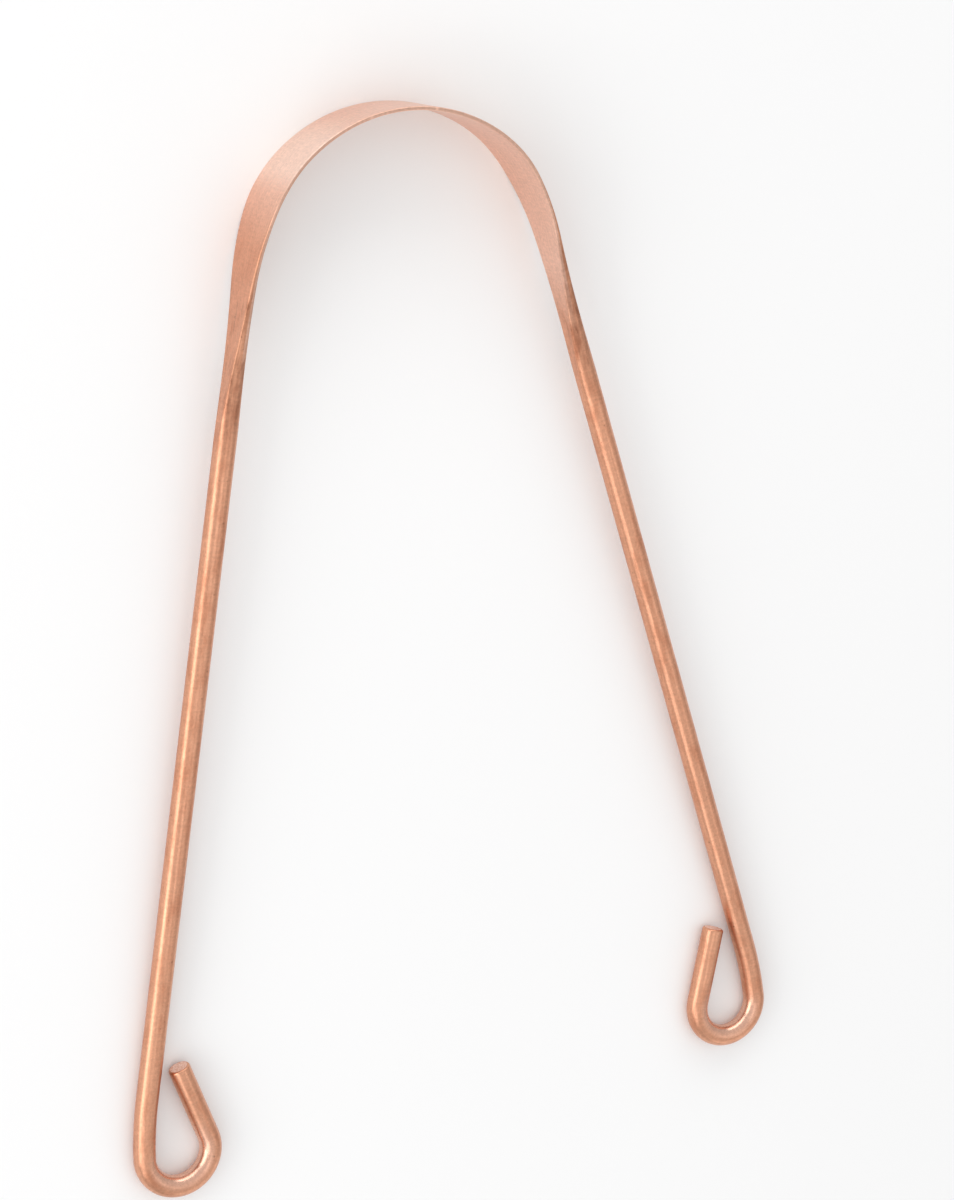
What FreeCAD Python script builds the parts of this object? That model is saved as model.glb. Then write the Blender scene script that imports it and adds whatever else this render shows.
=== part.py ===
import FreeCAD, Part
import math
import os

# A tongue scraper bent from one round copper rod. The middle of the rod is pressed into a thin
# flat blade and bowed, and both ends are curled into teardrop eyes. The rod's centreline lies in
# a level plane: X runs across the arms, +Y points to the bow, Z is the blade's width. The origin
# is the middle of the bounding box, at the blade's lower edge.

# Driving dimensions, in millimetres and degrees
rod_diameter = 2.9
blade_thickness = 0.5
blade_width = 9.5
crown_radius = 21.5
crown_half_angle = 12.0
shoulder_radius = 18.1
neck_radius = 37.6
neck_length = 38.0
shank_length = 86.1
arm_splay = 12.9
eye_radius = 4.8
eye_turn = 210.0
eye_gap = 0.95
end_round = 0.3

# How the bow's turn is shared by its crown and its shoulder; the rest is bent more gently
crown_turn_share = 0.46
shoulder_turn_share = 0.36
# How much of the shoulder is blade at full width; the neck starts there
full_width_share = 0.535
# Where in the neck the blade has narrowed to the rod, and how the width falls up to there
narrowing_share = 0.79
narrowing_power = 0.87
# How the press's flats rise along the neck, and how much of the rod's height they end at
flat_rise_power = 1.5
flat_end_share = 0.995
neck_sections = 17

rod_radius = rod_diameter / 2
bow_turn = 90.0 - arm_splay
crown_turn = bow_turn * crown_turn_share
shoulder_turn = bow_turn * shoulder_turn_share
flank_turn = shoulder_turn * full_width_share
up = FreeCAD.Vector(0, 0, 1)


def ahead(heading):
    """Unit vector along the rod; the heading turns clockwise from +X."""
    angle = math.radians(heading)
    return FreeCAD.Vector(math.cos(angle), -math.sin(angle), 0)


def outwards(heading):
    """Unit vector square to the rod, away from the inside of the bow."""
    angle = math.radians(heading)
    return FreeCAD.Vector(math.sin(angle), math.cos(angle), 0)


def along_arc(start, heading, radius, turn):
    """The point that an arc reaches after its turn."""
    return start + (outwards(heading + turn) - outwards(heading)) * radius


def arc_length(radius, turn):
    return radius * math.radians(turn)


def pressed_wire(place, heading, thickness, width):
    """Outline of the pressed rod: a flat on each face, and two sides that keep the rod's curve."""
    flat_half = width / 2 - rod_radius + math.sqrt(rod_radius**2 - (thickness / 2) ** 2)
    side = up * (width / 2)
    rise = outwards(heading) * (thickness / 2)
    outer_top = place + rise + up * flat_half
    outer_low = place + rise - up * flat_half
    inner_low = place - rise - up * flat_half
    inner_top = place - rise + up * flat_half
    return Part.Wire(
        [
            Part.LineSegment(outer_top, outer_low).toShape(),
            Part.Arc(outer_low, place - side, inner_low).toShape(),
            Part.LineSegment(inner_low, inner_top).toShape(),
            Part.Arc(inner_top, place + side, outer_top).toShape(),
        ]
    )


def bent_strip(start, heading, radius, turn):
    """The blade's section carried round one arc of the bow."""
    section = Part.Face(pressed_wire(start, heading, blade_thickness, blade_width))
    return section.revolve(start - outwards(heading) * radius, up, -turn)


def blade_crown():
    start = along_arc(crown, 0.0, crown_radius, -crown_half_angle)
    return bent_strip(start, -crown_half_angle, crown_radius, 2 * crown_half_angle)


def blade_flank():
    """The springy side of the bow: the rest of the crown's arc, then the tighter shoulder's start."""
    start = along_arc(crown, 0.0, crown_radius, crown_half_angle)
    upper = bent_strip(start, crown_half_angle, crown_radius, crown_turn - crown_half_angle)
    lower = bent_strip(crown_end, crown_turn, shoulder_radius, flank_turn)
    return upper.fuse(lower)


def neck_stretches():
    """Radius and turn of each bend in the neck: the shoulder's rest, then the gentle bend."""
    return [
        (shoulder_radius, shoulder_turn - flank_turn),
        (neck_radius, bow_turn - crown_turn - shoulder_turn),
    ]


def neck_station(travel):
    """Place and heading on the neck's centreline, that far from the blade's full width."""
    place = flank_end
    heading = crown_turn + flank_turn
    for radius, turn in neck_stretches():
        turned = min(turn, math.degrees(max(travel, 0) / radius))
        place = along_arc(place, heading, radius, turned)
        heading += turned
        travel -= arc_length(radius, turned)
    return place + ahead(heading) * max(travel, 0), heading


def flat_thickness(travel_share):
    """Height between the press's flats, rising smoothly along the neck from blade to rod."""
    rise = math.sin(math.pi / 2 * travel_share**flat_rise_power) ** 2
    return blade_thickness + (rod_diameter * flat_end_share - blade_thickness) * rise


def neck_width(travel_share):
    """Width across the two round sides, falling smoothly along the neck from blade to rod."""
    fall = min(1, travel_share / narrowing_share) ** narrowing_power
    return rod_diameter + (blade_width - rod_diameter) * math.cos(math.pi / 2 * fall) ** 2


def neck():
    """Where the blade narrows and thickens back into rod, its two flats ending in a point."""
    wires = []
    for index in range(neck_sections):
        share = index / (neck_sections - 1)
        place, heading = neck_station(neck_length * share)
        wires.append(pressed_wire(place, heading, flat_thickness(share), neck_width(share)))
    return Part.makeLoft(wires, True, True)


def shank():
    return Part.makeCylinder(rod_radius, shank_length, neck_end, ahead(bow_turn))


def eye_return():
    """Straight run that closes the teardrop: it stops one gap short of the shank."""
    angle = math.radians(eye_turn)
    reach = eye_radius * (1 - math.cos(angle)) + rod_radius * math.cos(angle)
    return (reach - rod_radius - eye_gap) / -math.sin(angle)


def eye():
    """The rod's end, curled inwards past a half turn, with the sawn end's rim worn round."""
    ring = Part.Face(Part.Wire(Part.makeCircle(rod_radius, shank_end, ahead(bow_turn))))
    curl = ring.revolve(shank_end - outwards(bow_turn) * eye_radius, up, -eye_turn)
    start = along_arc(shank_end, bow_turn, eye_radius, eye_turn)
    end = start + ahead(bow_turn + eye_turn) * eye_return()
    tail = Part.makeCylinder(rod_radius, eye_return(), start, ahead(bow_turn + eye_turn))
    rims = [e for e in tail.Edges if e.isClosed() and (e.CenterOfMass - end).Length < rod_radius / 2]
    return curl.fuse(tail.makeFillet(end_round, rims)).removeSplitter()


# Stations along the right half of the centreline, first with the crown at zero
bow_start = FreeCAD.Vector(0, 0, 0)
crown_end = along_arc(bow_start, 0.0, crown_radius, crown_turn)
flank_end = along_arc(crown_end, crown_turn, shoulder_radius, flank_turn)
neck_end = neck_station(neck_length)[0]
shank_end = neck_end + ahead(bow_turn) * shank_length
eye_centre = shank_end - outwards(bow_turn) * eye_radius

# The crown's place, which puts the origin at the middle of the box and at its lower face
lowest = eye_centre.y - eye_radius - rod_radius
crown = FreeCAD.Vector(0, -(lowest + blade_thickness / 2) / 2, blade_width / 2)
crown_end += crown
flank_end += crown
neck_end += crown
shank_end += crown

os.makedirs("parts", exist_ok=True)
blade_crown().exportStep("parts/blade_crown.step")
arm_pieces = {"blade_flank": blade_flank, "neck": neck, "shank": shank, "eye": eye}
for name, make in arm_pieces.items():
    right = make()
    left = right.mirror(crown, FreeCAD.Vector(1, 0, 0))
    right.exportStep(f"parts/right_{name}.step")
    left.exportStep(f"parts/left_{name}.step")

length = crown.y + blade_thickness / 2 - (lowest + crown.y)
print(f"overall length {length:.1f}, blade width {blade_width:.2f}, eye return {eye_return():.2f}")
pressed_area = Part.Face(pressed_wire(crown, 0.0, blade_thickness, blade_width)).Area
print(f"pressed section {pressed_area:.3f} of rod section {math.pi * rod_radius**2:.3f}")
print(f"flank ends at {flank_end}, neck ends at {neck_end}, eye centre {eye_centre + crown}")
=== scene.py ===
# %% [markdown]
# # A copper tongue scraper
#
# The object is one copper rod. Its middle is pressed into a thin flat blade and bent into a bow,
# and its two ends are curled into teardrop eyes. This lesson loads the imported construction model
# as a fixed frame, and then models the rod again as smooth meshes that carry a finished surface.

# %% Load the frame
import math

import bmesh
import bpy
import numpy as np
from mathutils import Matrix, Vector


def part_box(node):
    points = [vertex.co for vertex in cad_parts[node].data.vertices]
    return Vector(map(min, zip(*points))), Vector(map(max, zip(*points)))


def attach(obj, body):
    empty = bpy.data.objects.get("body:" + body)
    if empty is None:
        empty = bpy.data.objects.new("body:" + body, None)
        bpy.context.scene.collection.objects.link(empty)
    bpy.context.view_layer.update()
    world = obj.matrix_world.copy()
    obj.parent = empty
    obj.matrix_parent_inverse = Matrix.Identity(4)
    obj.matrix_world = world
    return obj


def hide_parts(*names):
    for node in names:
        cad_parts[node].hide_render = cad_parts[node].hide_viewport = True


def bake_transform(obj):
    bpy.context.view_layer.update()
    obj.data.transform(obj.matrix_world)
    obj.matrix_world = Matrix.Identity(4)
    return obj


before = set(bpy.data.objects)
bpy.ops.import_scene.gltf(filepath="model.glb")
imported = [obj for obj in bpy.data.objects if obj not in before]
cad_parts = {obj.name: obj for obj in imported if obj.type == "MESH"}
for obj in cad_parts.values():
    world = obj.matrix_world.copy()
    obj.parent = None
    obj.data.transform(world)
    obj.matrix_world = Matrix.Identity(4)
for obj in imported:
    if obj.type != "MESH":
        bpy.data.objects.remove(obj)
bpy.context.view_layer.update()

print("nodes:", sorted(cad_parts))

# %% [markdown]
# ## Sizes
#
# All lengths are in metres. The rod's thickness, the blade's width and the crown's place are read
# from the frame. The radii and turns are the ones that the rod was bent to. Just ahead of each
# eye the rod leans in gently before it curls, which is finer than the frame's plain eye and stays
# within a millimetre of it. The centreline lies in one level plane, and the left half mirrors
# the right half.

# %% Sizes of the bent rod
MM = 0.001
CROWN_RADIUS = 21.5 * MM
SHOULDER_RADIUS = 18.1 * MM
NECK_RADIUS = 37.6 * MM
NECK_LENGTH = 38.0 * MM
SHANK_LENGTH = 79.24 * MM
ENTRY_RADIUS = 50.0 * MM
EYE_RADIUS = 4.55 * MM
EYE_GAP = 1.1 * MM
END_ROUND = 0.3 * MM
BLADE_THICKNESS = 0.5 * MM
ARM_SPLAY = math.radians(12.9)
CROWN_HALF_ANGLE = math.radians(12)
ENTRY_TURN = math.radians(9)
EYE_TURN = math.radians(210)
CROWN_TURN_SHARE = 0.46
SHOULDER_TURN_SHARE = 0.36
FULL_WIDTH_SHARE = 0.535

BOW_TURN = math.pi / 2 - ARM_SPLAY
CROWN_TURN = CROWN_TURN_SHARE * BOW_TURN
SHOULDER_TURN = SHOULDER_TURN_SHARE * BOW_TURN
NECK_TURN = BOW_TURN - CROWN_TURN - SHOULDER_TURN
FULL_WIDTH_TURN = FULL_WIDTH_SHARE * SHOULDER_TURN

crown_low, crown_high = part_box("blade_crown")
shank_low, shank_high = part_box("right_shank")
ROD = shank_high.z - shank_low.z
ROD_RADIUS = ROD / 2
BLADE_WIDTH = crown_high.z - crown_low.z
LEVEL = (shank_low.z + shank_high.z) / 2
CROWN_TOP = Vector((0, crown_high.y - BLADE_THICKNESS / 2, LEVEL))
print(f"rod {ROD / MM:.2f} mm, blade {BLADE_WIDTH / MM:.2f} mm wide")
print(f"the centreline is {LEVEL / MM:.2f} mm up")

# %% [markdown]
# ## The centreline
#
# A stretch is a length and a bending radius, and a straight run has no radius. One function walks
# the stretches in order, so the place and the heading are known for any travel along the rod.
# That could also be a curve object with a bevel, but then the pressed section couldn't change on
# its way. The heading turns clockwise from +X, as the right half of the rod does.

# %% Walk along the rod
entry_reach = ENTRY_RADIUS * (1 - math.cos(ENTRY_TURN))
eye_reach = EYE_RADIUS * (math.cos(ENTRY_TURN) - math.cos(EYE_TURN))
tail_reach = entry_reach + eye_reach + ROD_RADIUS * math.cos(EYE_TURN)
TAIL_LENGTH = (tail_reach - ROD_RADIUS - EYE_GAP) / -math.sin(EYE_TURN)
FLANK_START = CROWN_RADIUS * CROWN_HALF_ANGLE
CROWN_END = CROWN_RADIUS * CROWN_TURN
NECK_START = CROWN_END + SHOULDER_RADIUS * FULL_WIDTH_TURN
NECK_END = NECK_START + NECK_LENGTH
SHANK_END = NECK_END + SHANK_LENGTH
ENTRY_END = SHANK_END + ENTRY_RADIUS * ENTRY_TURN
EYE_END = ENTRY_END + EYE_RADIUS * (EYE_TURN - ENTRY_TURN)
TIP = EYE_END + TAIL_LENGTH
bends = (CROWN_END, SHOULDER_RADIUS * SHOULDER_TURN, NECK_RADIUS * NECK_TURN)
STRETCHES = (
    (bends[0], CROWN_RADIUS),
    (bends[1], SHOULDER_RADIUS),
    (bends[2], NECK_RADIUS),
    (SHANK_END - sum(bends), None),
    (ENTRY_END - SHANK_END, ENTRY_RADIUS),
    (EYE_END - ENTRY_END, EYE_RADIUS),
    (TAIL_LENGTH, None),
)


def ahead(heading):
    return Vector((math.cos(heading), -math.sin(heading), 0))


def outwards(heading):
    return Vector((math.sin(heading), math.cos(heading), 0))


def station(travel):
    """Place and heading on the right half's centreline, that far from the crown."""
    place, heading = CROWN_TOP.copy(), 0.0
    for length, radius in STRETCHES:
        step = min(travel, length)
        if radius:
            turned = heading + step / radius
            place += (outwards(turned) - outwards(heading)) * radius
            heading = turned
        else:
            place += ahead(heading) * step
        travel -= step
        if travel <= 0:
            break
    return place, heading


eye_centre = station(ENTRY_END)[0] - outwards(BOW_TURN + ENTRY_TURN) * EYE_RADIUS
miss = eye_centre.y - EYE_RADIUS - ROD_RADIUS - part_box("right_eye")[0].y
print(f"half the rod is {TIP / MM:.1f} mm long")
print(f"its eye ends {abs(miss) / MM:.3f} mm from the frame's eye")

# %% [markdown]
# ## The pressed section
#
# A press squeezes the round rod between two flat dies. A flat opens on each face, and the two
# round sides move apart and keep the rod's own curve. One outline function gives the ring of
# points for any thickness and width. It always has the same count of points on side, corner and
# flat, so rings of different sections join up with no twist.

# %% Outline of the pressed rod
SIDE_STEPS = 6
CORNER_STEPS = 5
FLAT_STEPS = 7
RING = 4 * (SIDE_STEPS + CORNER_STEPS + FLAT_STEPS)
CORNER_ROUND = 0.25 * MM
CORNER_LIMIT = 0.8


def quarter_outline(thickness, width):
    """Points (outwards, up) from the top of the section to just above the middle of its flat."""
    shift = (width - ROD) / 2
    edge = math.asin(thickness / ROD)
    corner = np.array([thickness / 2, shift + ROD_RADIUS * math.cos(edge)])
    setback = CORNER_ROUND * math.tan((math.pi / 2 - edge) / 2)
    setback = min(setback, ROD_RADIUS * edge * CORNER_LIMIT, corner[1] / 2)
    points = []
    for angle in np.linspace(0, edge - setback / ROD_RADIUS, SIDE_STEPS + 1):
        sideways = ROD_RADIUS * math.sin(angle)
        points.append(np.array([sideways, shift + ROD_RADIUS * math.cos(angle)]))
    first, last = points[-1], corner - np.array([0, setback])
    for s in np.linspace(0, 1, CORNER_STEPS + 1)[1:]:
        points.append((1 - s) ** 2 * first + 2 * s * (1 - s) * corner + s**2 * last)
    for k in range(1, FLAT_STEPS):
        points.append(last * np.array([1, 1 - k / FLAT_STEPS]))
    return points


def outline(thickness, width):
    """The whole ring, clockwise from the top of the section."""
    quarter = quarter_outline(thickness, width)
    middle = [np.array([thickness / 2, 0])]
    half = quarter + middle + [p * np.array([1, -1]) for p in quarter[:0:-1]]
    low = [np.array([0, -half[0][1]])]
    return half + low + [p * np.array([-1, 1]) for p in half[:0:-1]]


blade_ring = outline(BLADE_THICKNESS, BLADE_WIDTH)
blade_size = np.ptp(np.array(blade_ring), axis=0).round(5) / MM
print(f"ring of {len(blade_ring)} points, {blade_size} mm")

# %% [markdown]
# ## The neck's section
#
# Between blade and round rod, the width falls and the flats rise. The blade stays thin for the
# first third of the neck, so it can spring, and then the flats close quickly. They run out on the
# round rod in a long pointed V, which is what the eye knows this tool's neck by.

# %% Width and thickness along the neck
NARROWING_SHARE = 0.79
NARROWING_POWER = 0.87
FLAT_RISE_POWER = 1.5
FLAT_END_SHARE = 0.995


def neck_outline(share):
    rise = math.sin(math.pi / 2 * share**FLAT_RISE_POWER) ** 2
    fall = min(1, share / NARROWING_SHARE) ** NARROWING_POWER
    thickness = BLADE_THICKNESS + (ROD * FLAT_END_SHARE - BLADE_THICKNESS) * rise
    width = ROD + (BLADE_WIDTH - ROD) * math.cos(math.pi / 2 * fall) ** 2
    return outline(thickness, width)


def rounding_outline(share):
    """Below the neck the flats are gone, so the ring's points slide apart until they are even."""
    ring = np.array(outline(ROD * FLAT_END_SHARE, ROD))
    angles = np.unwrap(np.arctan2(ring[:, 0], ring[:, 1]))
    angles += (2 * math.pi * np.arange(RING) / RING - angles) * share
    radius = np.hypot(ring[:, 0], ring[:, 1]) * (1 - share) + ROD_RADIUS * share
    return list(np.stack([radius * np.sin(angles), radius * np.cos(angles)], axis=1))


for quarters in range(5):
    neck_size = np.ptp(np.array(neck_outline(quarters / 4)), axis=0).round(5) / MM
    print(f"neck after {quarters} quarters: {neck_size} mm")

# %% [markdown]
# ## Carrying a ring along the rod
#
# The rod is made as a smith would bend it, one stretch after the other. A circle is added and
# pressed to the section. Spin then takes the ring round a bend, and extrude takes it along the
# stretches where the section changes or the rod is straight. Each operator leaves the newest ring
# selected, so the next one carries on from there.

# %% Press and start a ring
UP = Vector((0, 0, 1))
TURN_SLACK = 1e-6


def press_ring(travel, points):
    """Lays the selected ring on the section at that travel, whatever order its points are in."""
    place, heading = station(travel)
    out = outwards(heading)
    full = 2 * math.pi
    mesh = bpy.context.edit_object.data
    ring = [v for v in bmesh.from_edit_mesh(mesh).verts if v.select]
    centre = sum((v.co for v in ring), Vector()) / len(ring)
    turns = [math.atan2((v.co - centre).dot(out), v.co.z - centre.z) % full for v in ring]
    top = min(range(len(ring)), key=lambda i: min(turns[i], full - turns[i]))
    order = sorted(range(len(ring)), key=lambda i: (turns[i] - turns[top] + TURN_SLACK) % full)
    for index, point in zip(order, points):
        ring[index].co = place + out * point[0] + UP * point[1]
    bmesh.update_edit_mesh(mesh)


def start_rod(name, travel):
    """A new piece: a circle square to the rod, pressed to the blade's section and filled."""
    bpy.ops.object.select_all(action="DESELECT")
    place, heading = station(travel)
    square = Matrix((outwards(heading), UP, ahead(heading))).transposed().to_euler()
    bpy.ops.mesh.primitive_circle_add(
        vertices=RING, radius=ROD_RADIUS, location=place, rotation=square)
    piece = bpy.context.object
    piece.name = name
    bpy.ops.object.transform_apply(location=True, rotation=True, scale=True)
    bpy.ops.object.mode_set(mode="EDIT")
    bpy.ops.mesh.select_all(action="SELECT")
    press_ring(travel, blade_ring)
    bpy.ops.mesh.edge_face_add()
    return piece


print("every ring has", RING, "points")

# %% [markdown]
# ## Bends, straights and a clean end
#
# A bend is a spin and a straight is an extrude, so two short functions make the whole rod. A third
# one closes a piece: it merges doubled points, turns the faces outwards and shades smoothly over
# all but the crisp edges.

# %% Spin, extrude and finish
MERGE_GAP = 0.0001 * MM
CRISP_ANGLE = math.radians(40)


def bend(travel, turn, radius, steps):
    """Spins the selected ring clockwise round the centre of the bend."""
    place, heading = station(travel)
    bpy.ops.mesh.spin(steps=steps, angle=turn, center=place - outwards(heading) * radius, axis=UP)


def draw_out(start, end, steps, outline_at=None):
    """Extrudes the selected ring from one travel to another, pressing it on the way if asked."""
    travels = np.linspace(start, end, steps + 1)
    for k in range(steps):
        move = station(travels[k + 1])[0] - station(travels[k])[0]
        bpy.ops.mesh.extrude_region_move(TRANSFORM_OT_translate={"value": move})
        if outline_at:
            press_ring(travels[k + 1], outline_at((k + 1) / steps))


def finish_rod(piece):
    """Merges the joins, turns all faces outwards and smooths all but the crisp edges."""
    bpy.ops.mesh.select_all(action="SELECT")
    bpy.ops.mesh.remove_doubles(threshold=MERGE_GAP)
    bpy.ops.mesh.normals_make_consistent(inside=False)
    bpy.ops.object.mode_set(mode="OBJECT")
    bpy.ops.object.shade_smooth_by_angle(angle=CRISP_ANGLE)
    made = bmesh.new()
    made.from_mesh(piece.data)
    loose = sum(not edge.is_manifold for edge in made.edges)
    volume = made.calc_volume() / MM**3
    print(f"{piece.name}: {len(made.faces)} faces, {loose} open edges, {volume:.0f} mm3")
    made.free()


print(f"edges over {math.degrees(CRISP_ANGLE):.0f} degrees stay crisp")

# %% [markdown]
# ## Crown of the blade
#
# The middle of the bow stays still when the arms are squeezed, so it is a piece of its own. It is
# one blade section, spun through the crown's angle and closed at both ends. The steps are fine,
# under a third of a millimetre, so that its outline stays round close up.

# %% Blade crown
CROWN_STEPS = 32

crown = start_rod("blade_middle", -FLANK_START)
bend(-FLANK_START, 2 * CROWN_HALF_ANGLE, CROWN_RADIUS, CROWN_STEPS)
finish_rod(crown)

# %% [markdown]
# ## One side of the scraper
#
# From the crown, the strip goes on round the bow's flank, thickens through the neck into round
# rod, runs straight down the arm, leans in gently and curls into the eye. It is one unbroken
# piece, as on the real thing, so no seam can show where one stretch ends. The sawn end gets a
# bevel, because a tool for the mouth has no sharp rims.

# %% Right side
FLANK_STEPS = 24
SHOULDER_STEPS = 16
NECK_STEPS = 84
ROUNDING_LENGTH = 8 * MM
ROUNDING_STEPS = 16
SHANK_STEPS = 40
ENTRY_STEPS = 14
EYE_STEPS = 70
TAIL_STEPS = 8
RIM_STEPS = 5

right_side = start_rod("right_side", FLANK_START)
bend(FLANK_START, CROWN_TURN - CROWN_HALF_ANGLE, CROWN_RADIUS, FLANK_STEPS)
bend(CROWN_END, FULL_WIDTH_TURN, SHOULDER_RADIUS, SHOULDER_STEPS)
draw_out(NECK_START, NECK_END, NECK_STEPS, neck_outline)
draw_out(NECK_END, NECK_END + ROUNDING_LENGTH, ROUNDING_STEPS, rounding_outline)
draw_out(NECK_END + ROUNDING_LENGTH, SHANK_END, SHANK_STEPS)
bend(SHANK_END, ENTRY_TURN, ENTRY_RADIUS, ENTRY_STEPS)
bend(ENTRY_END, EYE_TURN - ENTRY_TURN, EYE_RADIUS, EYE_STEPS)
draw_out(EYE_END, TIP, TAIL_STEPS)
bpy.ops.mesh.region_to_loop()
bpy.ops.mesh.bevel(offset=END_ROUND, segments=RIM_STEPS, affect="EDGES")
finish_rod(right_side)

# %% [markdown]
# ## The other side
#
# The left half mirrors the right half, so the finished side is copied, and its copy is scaled by
# minus one across the middle. That turns its faces inside out, so they are made consistent again.

# %% Left side
bpy.ops.object.select_all(action="DESELECT")
right_side.select_set(True)
bpy.context.view_layer.objects.active = right_side
bpy.ops.object.duplicate(linked=False)
left_side = bpy.context.object
left_side.name = "left_side"
bpy.ops.object.mode_set(mode="EDIT")
bpy.ops.mesh.select_all(action="SELECT")
bpy.ops.transform.resize(value=(-1, 1, 1), center_override=(0, 0, 0))
finish_rod(left_side)

# %% [markdown]
# ## Riding on the frame
#
# The crown rides on the bow's body. A side is part bow and part arm; the stretch where its thin
# strip would bend when the arms are squeezed, from the crown to a third of the way down the neck,
# is worked out, and each side's place is baked into its mesh. The frame's pieces that the new
# meshes stand for are hidden.

# %% Ride and replace
FLEX_END = NECK_START + NECK_LENGTH / 3
pieces = {"": crown, "right": right_side, "left": left_side}
flex_ends = [station(travel)[0] for travel in (FLANK_START, FLEX_END)]

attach(crown, "bow")
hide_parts("blade_crown")
for side, mirrored in (("right", 1), ("left", -1)):
    start, end = (Vector((p.x * mirrored, p.y, p.z)) for p in flex_ends)
    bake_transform(pieces[side])
    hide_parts(*(f"{side}_{node}" for node in ("blade_flank", "neck", "shank", "eye")))
print("the strip bends over", round((FLEX_END - FLANK_START) / MM, 1), "mm on each side")

# %% [markdown]
# ## A map of the straightened rod
#
# Drawing lines, tarnish and tool marks follow the rod round its bends. So each point of the mesh
# gets its place on the rod as if it were straightened: how far outwards it is, how far along it
# is from the crown, and how high it is, in millimetres. A UV map could hold two of these, but the
# round rod needs all three. The left half counts its travel backwards, so no mark comes twice.
# A second attribute says how squarely the surface faces up or down, which tells the rims and the
# round sides from the flats.

# %% Rod map and side share
MAP_STEP = 0.1 * MM
MAP_BATCH = 2000
travels = np.arange(-FLANK_START, TIP + ROD, MAP_STEP)
walk = [station(travel) for travel in travels]
walk_places = np.array([place.xy for place, heading in walk])
walk_outwards = np.array([outwards(heading).xy for place, heading in walk])


def map_rod(piece, mirrored):
    flat = np.empty(len(piece.data.vertices) * 3)
    piece.data.vertices.foreach_get("co", flat)
    points = flat.reshape(-1, 3) * np.array([mirrored, 1, 1])
    nearest = np.empty(len(points), dtype=int)
    for first in range(0, len(points), MAP_BATCH):
        batch = slice(first, first + MAP_BATCH)
        gaps = points[batch, None, :2] - walk_places[None]
        nearest[batch] = (gaps**2).sum(axis=2).argmin(axis=1)
    out = ((points[:, :2] - walk_places[nearest]) * walk_outwards[nearest]).sum(axis=1)
    rod_map = np.stack([out, travels[nearest] * mirrored, points[:, 2] - LEVEL], axis=1) / MM
    attribute = piece.data.attributes.new("rod_map", "FLOAT_VECTOR", "POINT")
    attribute.data.foreach_set("vector", rod_map.astype(np.float32).ravel())
    piece.data.vertices.foreach_get("normal", flat)
    side_share = piece.data.attributes.new("side_share", "FLOAT", "POINT")
    side_share.data.foreach_set("value", np.abs(flat[2::3]).astype(np.float32))
    lowest, highest = rod_map.min(axis=0).round(1), rod_map.max(axis=0).round(1)
    print(piece.name, "mapped from", lowest, "to", highest)


for piece in pieces.values():
    map_rod(piece, -1 if piece is left_side else 1)

# %% [markdown]
# ## Satin copper
#
# The rod is bare copper, drawn through a die and then pressed. Drawing leaves fine lines along
# it, handling leaves patches of brown tarnish and small dark specks, and the dies leave stained
# lines where the neck's flats run out. Painted pictures could be wrapped round it, but patterns
# that are worked out stay sharp close up and run on without a seam. Each colour is set once, by
# the hex value that it has on a screen, and one small function adds any node.

# %% Colours and one node function
def linear(code):
    """Linear colour of an sRGB hex value."""
    channels = [int(code[k:k + 2], 16) / 255 for k in (1, 3, 5)]
    return [c / 12.92 if c <= 0.04045 else ((c + 0.055) / 1.055) ** 2.4 for c in channels] + [1]


def add_node(tree, kind, inputs=None, **settings):
    """Adds a node; an input takes a value, or the socket that it is linked from."""
    made = tree.nodes.new(kind)
    for key, value in settings.items():
        setattr(made, key, value)
    for key, value in (inputs or {}).items():
        if isinstance(value, bpy.types.NodeSocket):
            tree.links.new(value, made.inputs[key])
        else:
            made.inputs[key].default_value = value
    return made


COPPER = linear("#DBA081")
# pale colour for the blade's buffing and its painted reflection, and for the eyes' painted
# highlight
PALE_BUFF_SHEEN = linear("#EFC4AF")
# painted highlight: a pale glare on the blade's outer face
PAINTED_GLARE = linear("#F7DACA")
TARNISH = linear("#BA7657")
# dark colour for specks and die marks, also used as painted shade
STAIN_AND_SHADE = linear("#7C4A36")
print("copper in linear light:", [round(c, 3) for c in COPPER[:3]])

# %% [markdown]
# ### Patterns on the rod
#
# Each pattern is a noise that is stretched to a real size across and along the rod: long lines
# from drawing, short bands of chatter across them, patches of tarnish, a fine grain and the dies'
# marks. Specks are cells, and a dot sits in the middle of some of them.

# %% Noises on the rod map
# Sizes across and along the rod, in mm. Real die lines and chatter are about a tenth as wide; they
# are drawn this coarse because finer ones would not show.
PATTERNS = {
    "lines": (0.32, 14.0),
    "chatter": (1.5, 0.3),
    "patches": (1.5, 4.5),
    "grain": (0.28, 0.4),
    "marks_and_shade": (0.4, 3.0),
}
SPECK_SPACING = 1.1
NOISE = {"Scale": 1.0, "Detail": 3.0, "Roughness": 0.6}

copper = bpy.data.materials.new("copper_drawn_satin")
copper.use_nodes = True
tree = copper.node_tree
shader = tree.nodes["Principled BSDF"]
rod_map = add_node(tree, "ShaderNodeAttribute", attribute_name="rod_map").outputs["Vector"]
facing = add_node(tree, "ShaderNodeAttribute", attribute_name="side_share").outputs["Fac"]
parts = add_node(tree, "ShaderNodeSeparateXYZ", {"Vector": rod_map}).outputs
travel = add_node(tree, "ShaderNodeMath", {0: parts["Y"]}, operation="ABSOLUTE").outputs[0]
scaled = {}
for name, (across, along) in {**PATTERNS, "specks": (SPECK_SPACING, SPECK_SPACING)}.items():
    scales = {0: rod_map, 1: (1 / across, 1 / along, 1 / across)}
    made = add_node(tree, "ShaderNodeVectorMath", scales, operation="MULTIPLY")
    scaled[name] = made.outputs[0]
noise = {}
for name in PATTERNS:
    made = add_node(tree, "ShaderNodeTexNoise", {"Vector": scaled[name], **NOISE})
    noise[name] = made.outputs["Fac"]
cells = add_node(tree, "ShaderNodeTexVoronoi", {"Vector": scaled["specks"], "Scale": 1.0}).outputs
print("noises on the rod:", list(noise))
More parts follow.
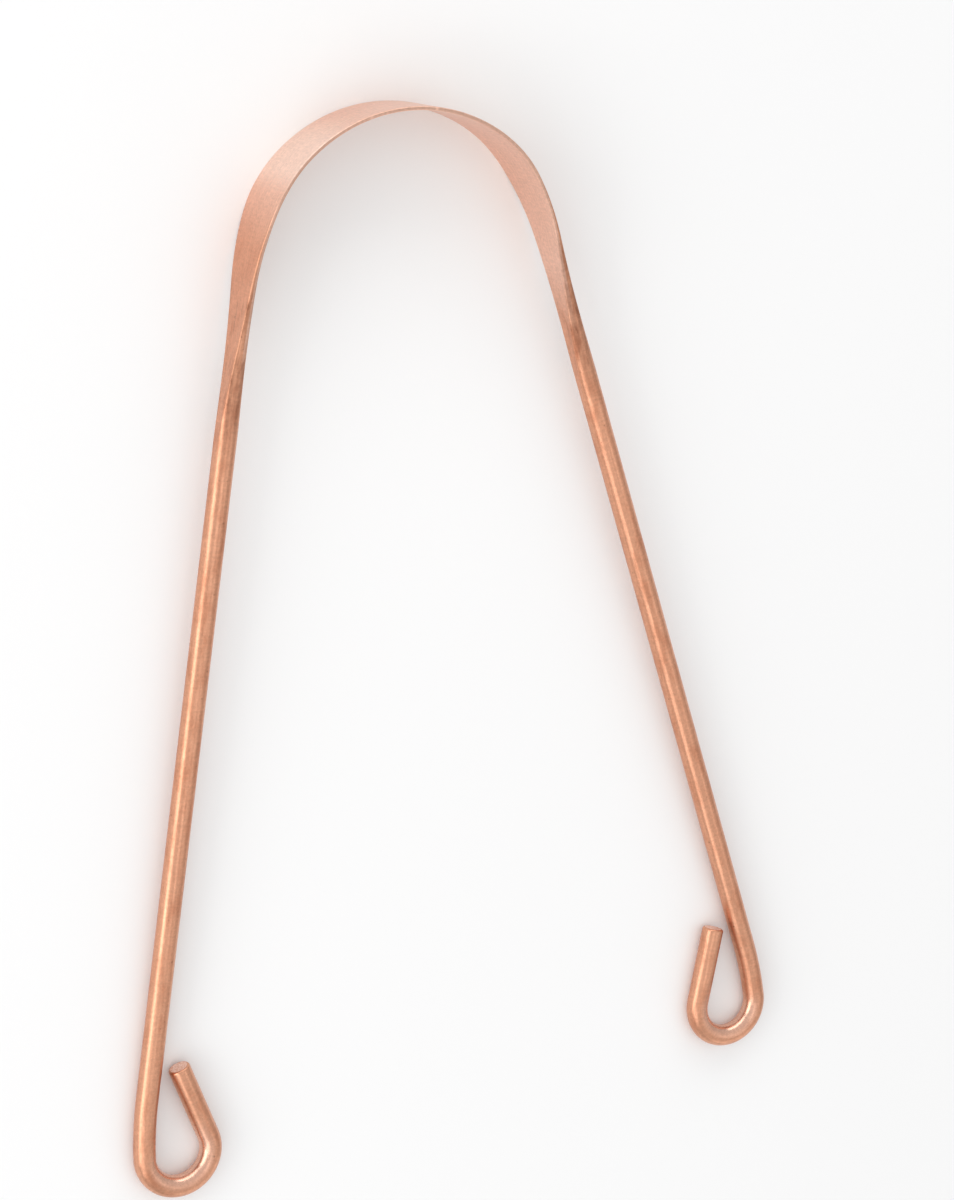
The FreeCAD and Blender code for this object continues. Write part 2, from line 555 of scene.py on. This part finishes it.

# %% [markdown]
# ### Where each pattern shows
#
# The blade is paler and cleaner than the rods, partly because it was buffed after pressing and
# partly as a painted reflection of the white room: on its outer face up to the shoulder, where the
# wheel bore hardest, and on its inner face into the neck. A painted highlight lies on the outer
# face just past the crown. Tarnish and specks belong to the rods. The dies' marks lie in the necks,
# where the flats run out, and darken their round sides, partly as stain and partly as painted
# shade. The blade's thin rims are darkened with painted shade. The eyes were bent round a smooth
# steel pin, which left their inner sides glossier; their pale colour there is a painted highlight.

# %% Measures that the shares start from
# All in mm: how far along the inner and the outer face the buffing and its painted reflection go,
# how far from the middle a face counts in full, and how ragged the painted highlight's patch ends
BUFF_SHEEN_INSIDE = 45.0
BUFF_SHEEN_OUTSIDE = 28.0
FACE_BLEND = 0.15
RAGGED = 4.0

sides = {"Value": parts["X"], "From Min": -FACE_BLEND, "From Max": FACE_BLEND,
         "To Min": BUFF_SHEEN_INSIDE, "To Max": BUFF_SHEEN_OUTSIDE}
reach = add_node(tree, "ShaderNodeMapRange", sides).outputs[0]
beyond = add_node(tree, "ShaderNodeMath", {0: travel, 1: reach}, operation="SUBTRACT").outputs[0]
uneven = {0: noise["grain"], 1: RAGGED, 2: travel}
ragged = add_node(tree, "ShaderNodeMath", uneven, operation="MULTIPLY_ADD").outputs[0]
print("buffed to", BUFF_SHEEN_OUTSIDE, "mm outside and", BUFF_SHEEN_INSIDE, "mm inside")

# %% [markdown]
# ### Ramps
#
# A Map Range node turns a measure into a share. Each could be added on its own, but they differ
# only in their numbers, so these are listed in one table and a loop adds the nodes.

# %% Ramps from measure to share
# The measure, where its ramp starts and ends, the share at the start and at the end, and whether
# the ramp is eased. Travel and outward places are in mm.
EASED = "SMOOTHSTEP"
EVEN = "LINEAR"
pin_start = ENTRY_END / MM
pin_end = EYE_END / MM
RAMPS = {
    # buffing and a painted reflection of the white room on the blade's faces
    "buffing_and_sheen": (beyond, (-11.0, 0.0), (0.9, 0.0), EASED),
    # the next three place a painted highlight on the outer face, between about 5 and 22 mm from the
    # crown
    "bright_begins": (travel, (5.0, 12.0), (0.0, 1.0), EASED),
    "bright_ends": (ragged, (18.0, 22.0), (1.0, 0.0), EASED),
    "outer_face": (parts["X"], (0.1, 0.2), (0.0, 0.75), EVEN),
    # the eyes' inner sides: glossier from the pin, and paler as a painted highlight
    "pin_begins": (travel, (pin_start - 2.0, pin_start + 3.0), (0.0, 1.0), EASED),
    "pin_ends": (travel, (pin_end - 1.0, pin_end + 4.0), (1.0, 0.0), EASED),
    "pin_side": (parts["X"], (0.3, -1.0), (0.0, 0.7), EVEN),
    "handled": (travel, (16.0, 40.0), (0.15, 1.0), EASED),
    "patches": (noise["patches"], (0.42, 0.72), (0.0, 0.5), EASED),
    "dots": (cells["Distance"], (0.06, 0.17), (1.0, 0.0), EASED),
    "picked": (cells["Color"], (0.45, 0.85), (0.0, 0.55), EVEN),
    "mark_lines": (noise["marks_and_shade"], (0.54, 0.68), (0.0, 0.3), EASED),
    # darkens the necks' round sides, partly as die stain and partly as painted shade
    "round_sides": (facing, (0.3, 0.75), (0.0, 1.0), EASED),
    "blotches": (noise["patches"], (0.3, 0.65), (0.12, 0.5), EVEN),
    "marks_begin": (travel, (27.0, 35.0), (0.0, 1.0), EASED),
    "marks_end": (travel, (44.0, 55.0), (1.0, 0.0), EASED),
    # painted shade along the blade's thin rims
    "rims": (facing, (0.75, 0.97), (0.0, 0.3), EVEN),
}
share = {}
for name, (measure, (start, end), (first, last), easing) in RAMPS.items():
    ramp = {"Value": measure, "From Min": start, "From Max": end, "To Min": first, "To Max": last}
    made = add_node(tree, "ShaderNodeMapRange", ramp, interpolation_type=easing)
    share[name] = made.outputs[0]
print(len(share), "ramps")

# %% [markdown]
# ### From ramps to finishes
#
# A finish or a painted light shows where all its conditions hold, so its share is the product of
# their shares. What has neither buffing nor painted reflection is bare, and where the dies' marks
# haven't begun, the strip is still blade.

# %% Shares of each finish
for name, opposite in (("bare", "buffing_and_sheen"), ("blade", "marks_begin")):
    rest = add_node(tree, "ShaderNodeMath", {0: 1.0, 1: share[opposite]}, operation="SUBTRACT")
    share[name] = rest.outputs[0]
PRODUCTS = {
    # painted highlight on the blade's outer face
    "painted_glare": ("bright_begins", "bright_ends", "outer_face"),
    # burnished gloss and a painted highlight inside the eyes
    "burnish_and_highlight": ("pin_begins", "pin_ends", "pin_side"),
    "worn": ("handled", "bare"),
    "tarnish": ("patches", "worn"),
    "specks": ("dots", "picked", "worn"),
    "bare_lines": ("mark_lines", "bare"),
    # die stain and painted shade on the necks' round sides
    "side_stain_and_shade": ("round_sides", "blotches"),
    "neck": ("marks_begin", "marks_end"),
}
for name, (first, *others) in PRODUCTS.items():
    share[name] = share[first]
    for other in others:
        both = {0: share[name], 1: share[other]}
        share[name] = add_node(tree, "ShaderNodeMath", both, operation="MULTIPLY").outputs[0]
# die marks, plus stain and painted shade on the round sides
both = {0: share["bare_lines"], 1: share["side_stain_and_shade"]}
marks_and_shade = add_node(tree, "ShaderNodeMath", both, operation="ADD", use_clamp=True).outputs[0]
both = {0: marks_and_shade, 1: share["neck"]}
marks_and_shade = add_node(tree, "ShaderNodeMath", both, operation="MULTIPLY").outputs[0]
# painted shade on the blade's rims is added to the marks
rims = {0: share["rims"], 1: share["blade"], 2: marks_and_shade}
share["marks_and_shade"] = add_node(tree, "ShaderNodeMath", rims, operation="MULTIPLY_ADD").outputs[0]
print("shares worked out:", ", ".join(PRODUCTS))

# %% [markdown]
# ### Copper's colour
#
# The finishes, the painted reflection, the painted highlights and the painted shade are laid over
# the metal's own colour, one after the other, with a Mix node for each.
# Then the fine patterns make the colour a little lighter and darker, as drawn metal is.

# %% Layers of colour
# Bare copper, drawn through a die and left satin: it gives the eye soft stripes of light that run
# along the rod, broken by fine lines, with brown patches and specks where it has been handled.
MIX_BELOW, MIX_ABOVE, MIX_RESULT = 6, 7, 2  # the colour sockets of a Mix node
NOISE_RANGE = (0.3, 0.7)
# besides the real finishes, these layers paint a reflection and highlights in pale colours, and
# shade in the dark stain colour
LAYERS = (("buffing_and_sheen", PALE_BUFF_SHEEN), ("painted_glare", PAINTED_GLARE), ("tarnish", TARNISH), ("specks", STAIN_AND_SHADE),
          ("marks_and_shade", STAIN_AND_SHADE), ("burnish_and_highlight", PALE_BUFF_SHEEN))
SWINGS = {"lines": 0.10, "chatter": 0.12, "grain": 0.20}

colour = COPPER
for name, shade in LAYERS:
    layer = {0: share[name], MIX_BELOW: colour, MIX_ABOVE: shade}
    colour = add_node(tree, "ShaderNodeMix", layer, data_type="RGBA").outputs[MIX_RESULT]
for name, depth in SWINGS.items():
    swing = {"Value": noise[name], "From Min": NOISE_RANGE[0], "From Max": NOISE_RANGE[1],
             "To Min": 1 - depth / 2, "To Max": 1 + depth / 2}
    lightness = add_node(tree, "ShaderNodeMapRange", swing).outputs[0]
    swung = {0: colour, "Scale": lightness}
    colour = add_node(tree, "ShaderNodeVectorMath", swung, operation="SCALE").outputs[0]
tree.links.new(colour, shader.inputs["Base Color"])
shader.inputs["Metallic"].default_value = 1.0
print(len(LAYERS), "layers over the metal's own colour")

# %% [markdown]
# ### Copper's gloss and relief
#
# Satin metal has a middling roughness. The drawn lines vary it, tarnish makes it duller, and the
# pin left it glossier inside the eyes. Two Bump nodes in a row give the lines and the chatter a
# relief of at most two hundredths of a millimetre.

# %% Roughness and bump
DULL_LINES, GLOSSY_LINES = 0.35, 0.27
TARNISH_DULLS = 0.14
BURNISH_DULLS = -0.08
RELIEF_DEPTH = 0.02 * MM
RELIEFS = {"lines": 0.3, "chatter": 0.25}

line_gloss = {"Value": noise["lines"], "From Min": NOISE_RANGE[0], "From Max": NOISE_RANGE[1],
              "To Min": DULL_LINES, "To Max": GLOSSY_LINES}
gloss = add_node(tree, "ShaderNodeMapRange", line_gloss).outputs[0]
for name, dulls in (("tarnish", TARNISH_DULLS), ("burnish_and_highlight", BURNISH_DULLS)):
    duller = {0: share[name], 1: dulls, 2: gloss}
    gloss = add_node(tree, "ShaderNodeMath", duller, operation="MULTIPLY_ADD").outputs[0]
tree.links.new(gloss, shader.inputs["Roughness"])
below = {}
for name, strength in RELIEFS.items():
    raised = {"Height": noise[name], "Strength": strength, "Distance": RELIEF_DEPTH, **below}
    below = {"Normal": add_node(tree, "ShaderNodeBump", raised).outputs[0]}
tree.links.new(below["Normal"], shader.inputs["Normal"])
print("copper has", len(tree.nodes), "nodes")

# %% [markdown]
# ## Sawn ends
#
# The rod's two ends were sawn off and then tumbled, so they are paler and rougher than the drawn
# surface. They could share the rod's material with another mask, but the sawn faces are easy to
# pick, so they get a material of their own, with a coarse grain in its relief.

# %% Copper, sawn
# Copper sawn across and tumbled: it gives the eye a pale, speckled disc with no stripe of light.
SAW_GRAIN = 0.22 * MM
SAW_DETAIL = 3.0
SAW_RANGE = (0.35, 0.65)
SAWN_DARK = linear("#E9B9A0")
SAWN_PALE = linear("#FFE4D8")
SAWN_ROUGHNESS = 0.6
SAW_RELIEF = {"Strength": 0.6, "Distance": 0.08 * MM}

sawn = bpy.data.materials.new("copper_sawn_tumbled")
sawn.use_nodes = True
tree = sawn.node_tree
shader = tree.nodes["Principled BSDF"]
place = add_node(tree, "ShaderNodeTexCoord").outputs["Object"]
grit = {"Vector": place, "Scale": 1 / SAW_GRAIN, "Detail": SAW_DETAIL}
grain = add_node(tree, "ShaderNodeTexNoise", grit).outputs["Fac"]
spread = {"Value": grain, "From Min": SAW_RANGE[0], "From Max": SAW_RANGE[1]}
pale = add_node(tree, "ShaderNodeMapRange", spread).outputs[0]
layer = {0: pale, MIX_BELOW: SAWN_DARK, MIX_ABOVE: SAWN_PALE}
mixed = add_node(tree, "ShaderNodeMix", layer, data_type="RGBA").outputs[MIX_RESULT]
relief = add_node(tree, "ShaderNodeBump", {"Height": grain, **SAW_RELIEF}).outputs[0]
tree.links.new(mixed, shader.inputs["Base Color"])
tree.links.new(relief, shader.inputs["Normal"])
shader.inputs["Metallic"].default_value = 1.0
shader.inputs["Roughness"].default_value = SAWN_ROUGHNESS
print("sawn copper has", len(tree.nodes), "nodes")

# %% [markdown]
# ## Dressing the pieces
#
# Every piece gets both materials. A face is sawn if its middle lies close to the tip of the rod,
# which is the same place on both sides once the left side is folded over to the right.

# %% Assign the materials
tip = station(TIP)[0]
for piece in pieces.values():
    piece.data.materials.clear()
    piece.data.materials.append(copper)
    piece.data.materials.append(sawn)
    for face in piece.data.polygons:
        spot = Vector((abs(face.center.x), face.center.y, face.center.z))
        face.material_index = int((spot - tip).length < ROD_RADIUS / 2 and piece is not crown)
    print(piece.name, "has", sum(face.material_index for face in piece.data.polygons), "sawn faces")

# %% [markdown]
# ## Floor
#
# The scraper lies on a white floor, on the blade's lower edge and the two eyes, so the floor
# leans by the little that the eyes are higher. It is a plain sheet of matt paper, large enough
# to fill any view.

# %% Paper floor
# Matt white paper: it gives the eye an even ground with soft shadows and no gloss.
FLOOR_SIZE = 6.0
FLOOR_WHITE = linear("#F8F8F8")
PAPER_ROUGHNESS = 0.9

eye_bottom = Vector((0, eye_centre.y, shank_low.z))
lean = math.atan2(eye_bottom.z, crown_high.y - eye_bottom.y)
bpy.ops.object.select_all(action="DESELECT")
bpy.ops.mesh.primitive_plane_add(
    size=FLOOR_SIZE, location=(0, crown_high.y, 0), rotation=(-lean, 0, 0))
floor = bpy.context.object
floor.name = "floor"
paper = bpy.data.materials.new("paper_matt_white")
paper.use_nodes = True
paper_shader = paper.node_tree.nodes["Principled BSDF"]
paper_shader.inputs["Base Color"].default_value = FLOOR_WHITE
paper_shader.inputs["Roughness"].default_value = PAPER_ROUGHNESS
floor.data.materials.append(paper)
print(f"the floor leans by {math.degrees(lean):.2f} degrees")

# %% [markdown]
# ## Room
#
# The room around the scraper is pale, and brighter towards its ceiling. Polished metal shows
# whatever surrounds it, so an even room would leave the rods flat, and a graded one gives them
# darker sides.

# %% Graded room
ROOM_TOP = 0.86
ROOM_SIDES = 0.52

room = bpy.data.worlds.new("studio_room")
bpy.context.scene.world = room
room.use_nodes = True
tree = room.node_tree
room_light = tree.nodes["Background"]
room_light.inputs["Color"].default_value = linear("#FFFFFF")
direction = add_node(tree, "ShaderNodeTexCoord").outputs["Generated"]
way_up = add_node(tree, "ShaderNodeSeparateXYZ", {0: direction}).outputs["Z"]
grading = {"Value": way_up, "To Min": ROOM_SIDES, "To Max": ROOM_TOP}
level = add_node(tree, "ShaderNodeMapRange", grading).outputs[0]
tree.links.new(level, room_light.inputs["Strength"])
print("the room goes from", ROOM_SIDES, "at its sides to", ROOM_TOP, "at its top")

# %% [markdown]
# ## Soft boxes
#
# A long soft box low on the left draws the bright stripe on the left rod, and one at the front
# left the stripe on the right rod. Two small weak ones, above and on the right, give the second
# stripes, and a long one behind the bow lights the blade's outer face and the eyes' bends. A weak
# low one at the front right keeps the outsides of the eyes from going dull.

# %% Six soft boxes
# Bearing from +X and height above the floor in degrees, width and depth in metres, and radiance
SOFT_BOXES = {
    "soft_box_left": (175, 21, 0.8, 0.38, 2.1),
    "soft_box_front_left": (218, 35, 0.4, 0.42, 1.2),
    "soft_box_above": (224, 79, 0.3, 0.3, 0.6),
    "soft_box_right": (-25, 56, 0.3, 0.3, 0.35),
    "soft_box_back_left": (92, 22, 1.4, 0.3, 1.7),
    "soft_box_front_right": (-64, 15, 0.7, 0.3, 0.6),
}
LIGHT_REACH = 0.8


def way_to(bearing, height):
    """Unit vector towards a bearing from +X and a height above the level, both in radians."""
    level_way = Vector((math.cos(bearing), math.sin(bearing), 0))
    return level_way * math.cos(height) + UP * math.sin(height)


for name, (bearing, height, width, depth, radiance) in SOFT_BOXES.items():
    way = way_to(math.radians(bearing), math.radians(height))
    turned = way.to_track_quat("Z", "Y").to_euler()
    bpy.ops.object.light_add(type="AREA", location=way * LIGHT_REACH, rotation=turned)
    light = bpy.context.object
    light.name = name
    light.data.shape = "RECTANGLE"
    light.data.size = width
    light.data.size_y = depth
    light.data.energy = radiance * math.pi * width * depth
    print(f"{name}: {light.data.energy:.2f} W")

# %% [markdown]
# ## Camera
#
# The camera looks down on the scraper from its left, far enough away that the arms hardly taper.
# It is rolled until the bow is at the top of the picture. Its direction, distance and roll were
# fitted to the outline of the rod, with the middle of the picture as the point that it aims at.

# %% Camera
LENS = 105.0
VIEW_BEARING = math.radians(149.12)
VIEW_HEIGHT = math.radians(59.66)
VIEW_ROLL = math.radians(-113.09)
VIEW_DISTANCE = 451.4 * MM
AIM = Vector((7.394, 2.600, 4.75)) * MM

back = way_to(VIEW_BEARING, VIEW_HEIGHT)
level_right = UP.cross(back).normalized()
level_up = back.cross(level_right)
picture_up = level_up * math.cos(VIEW_ROLL) + level_right * math.sin(VIEW_ROLL)
bpy.ops.object.camera_add()
camera = bpy.context.object
camera.data.lens = LENS
camera.matrix_world = Matrix((picture_up.cross(back), picture_up, back)).transposed().to_4x4()
camera.location = AIM + back * VIEW_DISTANCE
scene = bpy.context.scene
scene.camera = camera
scene.view_settings.view_transform = "Standard"
print("camera at", [round(c, 4) for c in camera.location])
